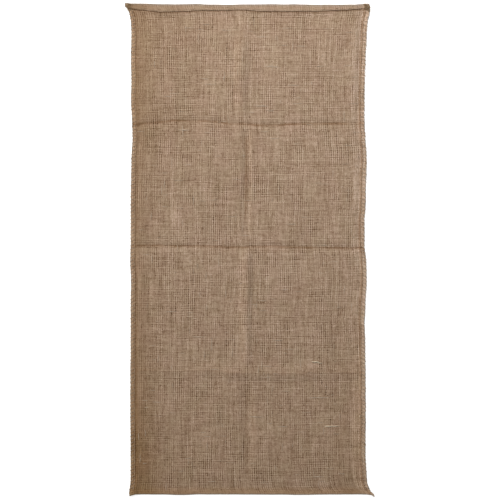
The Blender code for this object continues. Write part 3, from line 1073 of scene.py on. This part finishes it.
def hessian():
    """Coarse plain weave: uneven yarns, slubs, thin places, specks, painted shade between the yarns,
    dust and painted shade on creases, and soiling with painted shade.
    """
    material, tree, shader = new_material("jute_hessian", roughness=0.9)
    x, y = uv_fields(tree)
    wander_x = noise_field(tree, x * 22, y * 5, 3.0) - 0.5
    wander_y = noise_field(tree, x * 5, y * 22, 8.0) - 0.5
    u = x * (1 / WARP_PITCH) + wander_x * 0.9
    v = y * (1 / WEFT_PITCH) + wander_y * 1.2
    i, j = u.math("FLOOR"), v.math("FLOOR")
    in_warp, in_weft = u - i, v - j

    # Heights: each yarn is a dome that dips under every second yarn it crosses.
    warp_dome = (in_warp * math.pi).math("SINE").math("POWER", 0.6)
    weft_dome = (in_weft * math.pi).math("SINE").math("POWER", 0.6)
    warp_wave = ((v - 0.5 + i) * math.pi).math("COSINE")
    weft_wave = ((u - 0.5 + j) * math.pi).math("COSINE") * -1
    warp_top = warp_dome * 0.62 + warp_wave * 0.38
    weft_top = weft_dome * 0.62 + weft_wave * 0.38
    is_warp = (warp_top - weft_top).step_between(-0.12, 0.12)
    top = warp_top.math("MAXIMUM", weft_top)

    # Uneven yarns: each has its own tone, and it changes along its length. Two yarns go to each
    # dent of the reed, and one of the two lies higher and lighter, in some places more than others.
    warp_pair = (i.math("MULTIPLY", math.pi)).math("COSINE")
    weft_pair = (j.math("MULTIPLY", math.pi)).math("COSINE")
    reed = noise_field(tree, x * 17, y * 9, 21.0, 2.0).step_between(0.25, 0.78)
    pick = noise_field(tree, x * 9, y * 17, 27.0, 2.0).step_between(0.28, 0.82)
    calm = attribute_field(tree, "calm")
    bold = calm * -0.6 + 1
    warp_tone = (noise_field(tree, i * 7.31, y * 11, 0.0, 2.0) - 0.5) * 2.0
    warp_tone += (noise_field(tree, i * 5.17, y * 85, 2.0, 3.0) - 0.5) * 1.5
    warp_tone += warp_pair * reed * 0.44
    weft_tone = (noise_field(tree, x * 14, j * 7.31, 5.0, 2.0) - 0.5) * 1.9
    weft_tone += (noise_field(tree, x * 85, j * 5.17, 7.0, 3.0) - 0.5) * 1.4
    weft_tone += weft_pair * pick * 0.14
    crossing = noise_field(tree, i * 7.31, j * 5.17, 61.0, 0.0) - 0.5
    yarn_tone = warp_tone * (is_warp * 0.6 + 0.42) + weft_tone * (is_warp * -0.6 + 0.84)
    yarn_tone = (yarn_tone + crossing * 0.5) * bold

    pair_gap = ((u * 0.5).math("FRACT") - 0.5).math("ABSOLUTE").step_between(0.33, 0.5)
    pick_gap = ((v * 0.5).math("FRACT") - 0.5).math("ABSOLUTE").step_between(0.33, 0.5)
    gaps = (pair_gap * reed * 0.66 + pick_gap * pick * 0.34) * bold

    # Low places in the weave, between and under the crossing yarns, where painted shade darkens the
    # cloth.
    crevice_shade = top.step_between(0.05, 0.75)
    fibre = noise_field(tree, x * 2600, y * 500, 0.0, 2.0) * is_warp
    fibre = fibre + noise_field(tree, x * 500, y * 2600, 0.0, 2.0) * (is_warp * -1 + 1)
    speck = noise_field(tree, u * 0.7, v * 0.7, 31.0, 0.0).step_between(0.7, 0.8)
    fleck = noise_field(tree, u * 0.35, v * 0.8, 37.0, 0.0).step_between(0.72, 0.84)
    cloud = noise_field(tree, x * 7, y * 5, 41.0, 3.0) - 0.5
    small_cloud = noise_field(tree, x * 46, y * 30, 47.0, 2.0) - 0.5

    crease = attribute_field(tree, "crease")
    shade = attribute_field(tree, "shade")
    rim = attribute_field(tree, "rim")
    tone = yarn_tone * 0.96 + cloud * 0.14 + small_cloud * 0.24 + 1.11
    # Painted shade: darker where the yarns sink.
    tone = tone * crevice_shade.mixed(uniform(tree, 0.7), uniform(tree, 1.06))
    tone = (tone * (fibre * 0.3 + 0.85) + fleck * 0.4).clamped(0.16, 2.1)
    hue = noise_field(tree, x * 20, y * 16, 53.0, 2.0).step_between(0.2, 0.8)
    colour = browned(tree, (OLIVE_JUTE, PINK_JUTE), hue, tone)
    # Painted shade in the gaps between paired yarns and picks, and dark specks.
    colour = tinted(tree, colour, GAP_SHADE_AND_SPECK, (gaps + speck * 0.9).clamped(0.0, 1.0))
    # Soiling and painted shade: darker at the left side and the foot.
    colour = tinted(tree, colour, SOIL_AND_SHADE, shade)
    colour = tinted(tree, colour, WARM_TURN, attribute_field(tree, "warm"))
    # Dust and painted shade on the creases, and a painted shadow under the hem's edge.
    colour = tinted(tree, colour, CREASE_DUST_AND_SHADE, crease)
    # Dirt and painted shade in the pits of the seams' stitches, darkest at each stitch.
    stitches = ((y - 5 * MM) * (2 * math.pi / STITCH_PITCH)).math("COSINE") * 0.7 + 0.65
    pits = (attribute_field(tree, "groove") * stitches).clamped(0.0, 1.0)
    colour = tinted(tree, colour, STITCH_PIT_DIRT_AND_SHADE, pits)
    # Painted shade greying the outermost edges and the bottom corners.
    colour = tinted(tree, colour, GREY_RIM_SHADE, rim)
    colour = tinted(tree, colour, PALE_EDGE, attribute_field(tree, "pale"))
    tree.links.new(colour, shader.inputs["Base Color"])

    height = top + yarn_tone * 0.25 + fibre * 0.12 - gaps * 0.5
    bumped(tree, shader, height, 0.35 * MM)
    return material


def twisted(name, colours, twist_length):
    """Yarn whose plies wind round it, with an uneven colour along its length."""
    material, tree, shader = new_material(name, roughness=0.8)
    around, along = uv_fields(tree)
    ply = ((around * 2 + along * (1 / twist_length)) * (2 * math.pi)).math("SINE")
    uneven = noise_field(tree, around * 2, along * 90, 0.0, 3.0)
    fibre = noise_field(tree, around * 14 + along * 900, along * 300, 4.0, 2.0)
    tone = (ply * 0.14 + 0.86) * (fibre * 0.5 + 0.75)
    colour = shaded_colour(tree, colours, uneven.step_between(0.3, 0.7), tone)
    tree.links.new(colour, shader.inputs["Base Color"])
    bumped(tree, shader, ply * 0.7 + fibre * 0.3, 0.25 * MM)
    return material


def floor_paint():
    """Nearly white matt paper with the faintest grain."""
    material, tree, shader = new_material("white_paper", roughness=0.9)
    shader.inputs["Sheen Weight"].default_value = 0
    coords = tree.nodes.new("ShaderNodeTexCoord")
    split = tree.nodes.new("ShaderNodeSeparateXYZ")
    tree.links.new(coords.outputs["Object"], split.inputs[0])
    grain = noise_field(tree, Field(tree, split.outputs[0]) * 40, Field(tree, split.outputs[1]) * 40)
    colour = shaded_colour(tree, ((0.93, 0.93, 0.93), (0.95, 0.95, 0.95)), grain, grain * 0.0 + 1.0)
    tree.links.new(colour, shader.inputs["Base Color"])
    shader.inputs["Emission Color"].default_value = (1, 1, 1, 1)
    shader.inputs["Emission Strength"].default_value = 0.6
    return material


# ------------------------------------------------------------------ floor, light and camera


def make_floor(low):
    mesh = bmesh.new()
    bmesh.ops.create_grid(mesh, x_segments=1, y_segments=1, size=12)
    data = bpy.data.meshes.new("floor")
    mesh.to_mesh(data)
    mesh.free()
    floor = bpy.data.objects.new("floor", data)
    floor.location.z = low.z - 0.1 * MM
    data.materials.append(floor_paint())
    bpy.context.scene.collection.objects.link(floor)


def area_light(name, place_at, target, size, power):
    light = bpy.data.lights.new(name, "AREA")
    light.size = size
    light.energy = power
    lamp = bpy.data.objects.new(name, light)
    lamp.location = place_at
    lamp.rotation_euler = (Vector(target) - Vector(place_at)).to_track_quat("-Z", "Y").to_euler()
    lamp.visible_camera = False
    bpy.context.scene.collection.objects.link(lamp)


def make_lights():
    """A key light beyond the mouth, a weak low one on the left, and even light from all round."""
    middle = (0, 0, 0)
    area_light("key", place_at=(-0.1, 3.0, 2.1), target=middle, size=0.8, power=84)
    area_light("side", place_at=(-6.0, 0.4, 1.4), target=middle, size=1.2, power=230)
    world = bpy.data.worlds.new("soft_studio")
    world.use_nodes = True
    background = world.node_tree.nodes["Background"]
    background.inputs["Color"].default_value = (1, 1, 1, 1)
    background.inputs["Strength"].default_value = 0.33
    bpy.context.scene.world = world
    bpy.context.scene.view_settings.view_transform = "Standard"


def make_camera(low, high):
    """Straight above, from far enough that nothing leans."""
    camera_height = 6.0
    frame_share = 0.9865  # the sack's length as a share of the frame
    camera_data = bpy.data.cameras.new("camera")
    sensor_width = 36
    camera_data.sensor_width = sensor_width
    width = (high.y - low.y) / frame_share
    camera_data.lens = sensor_width * (camera_height - high.z) / width
    camera = bpy.data.objects.new("camera", camera_data)
    middle = (low + high) / 2
    camera.location = (middle.x + 2 * MM, middle.y - 1 * MM, camera_height)
    bpy.context.scene.collection.objects.link(camera)
    bpy.context.scene.camera = camera


def main():
    low, high = Vector(cad_box[0]), Vector(cad_box[1])
    make_camera(low, high)
    make_lights()
    make_floor(low)

    sack = cloth_sheet(hessian())
    runs = {
        "left_seam_line": [(seam_line(-1, SEAM_LEFT), THREAD_RADIUS * 1.1)],
        "left_overhead_thread": [(overhead_stitches(-1, SEAM_LEFT), THREAD_RADIUS * 0.7)],
        "right_seam_line": [(seam_line(1, SEAM_RIGHT), THREAD_RADIUS * 1.1)],
        "right_overhead_thread": [(overhead_stitches(1, SEAM_RIGHT), THREAD_RADIUS * 0.7)],
        "corner_thread": corner_wraps(-1) + corner_wraps(1),
        "hem_thread": hem_stitches(),
        "loose_fibres": loose_fibres(),
        "slubs": slub_yarns(SLUBS + chance_slubs()),
        "white_tufts": slub_yarns(WHITE_TUFTS),
    }
    threads = []
    for name, points in runs.items():
        material = twisted(name, THREAD_COLOURS[name], 3.2 * MM)
        threads.append(thread_object(name, material, points, 3 if name == "loose_fibres" else 6))

    for piece in [sack] + threads:
        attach(piece, "root")
    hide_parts("sack_cloth")


main()
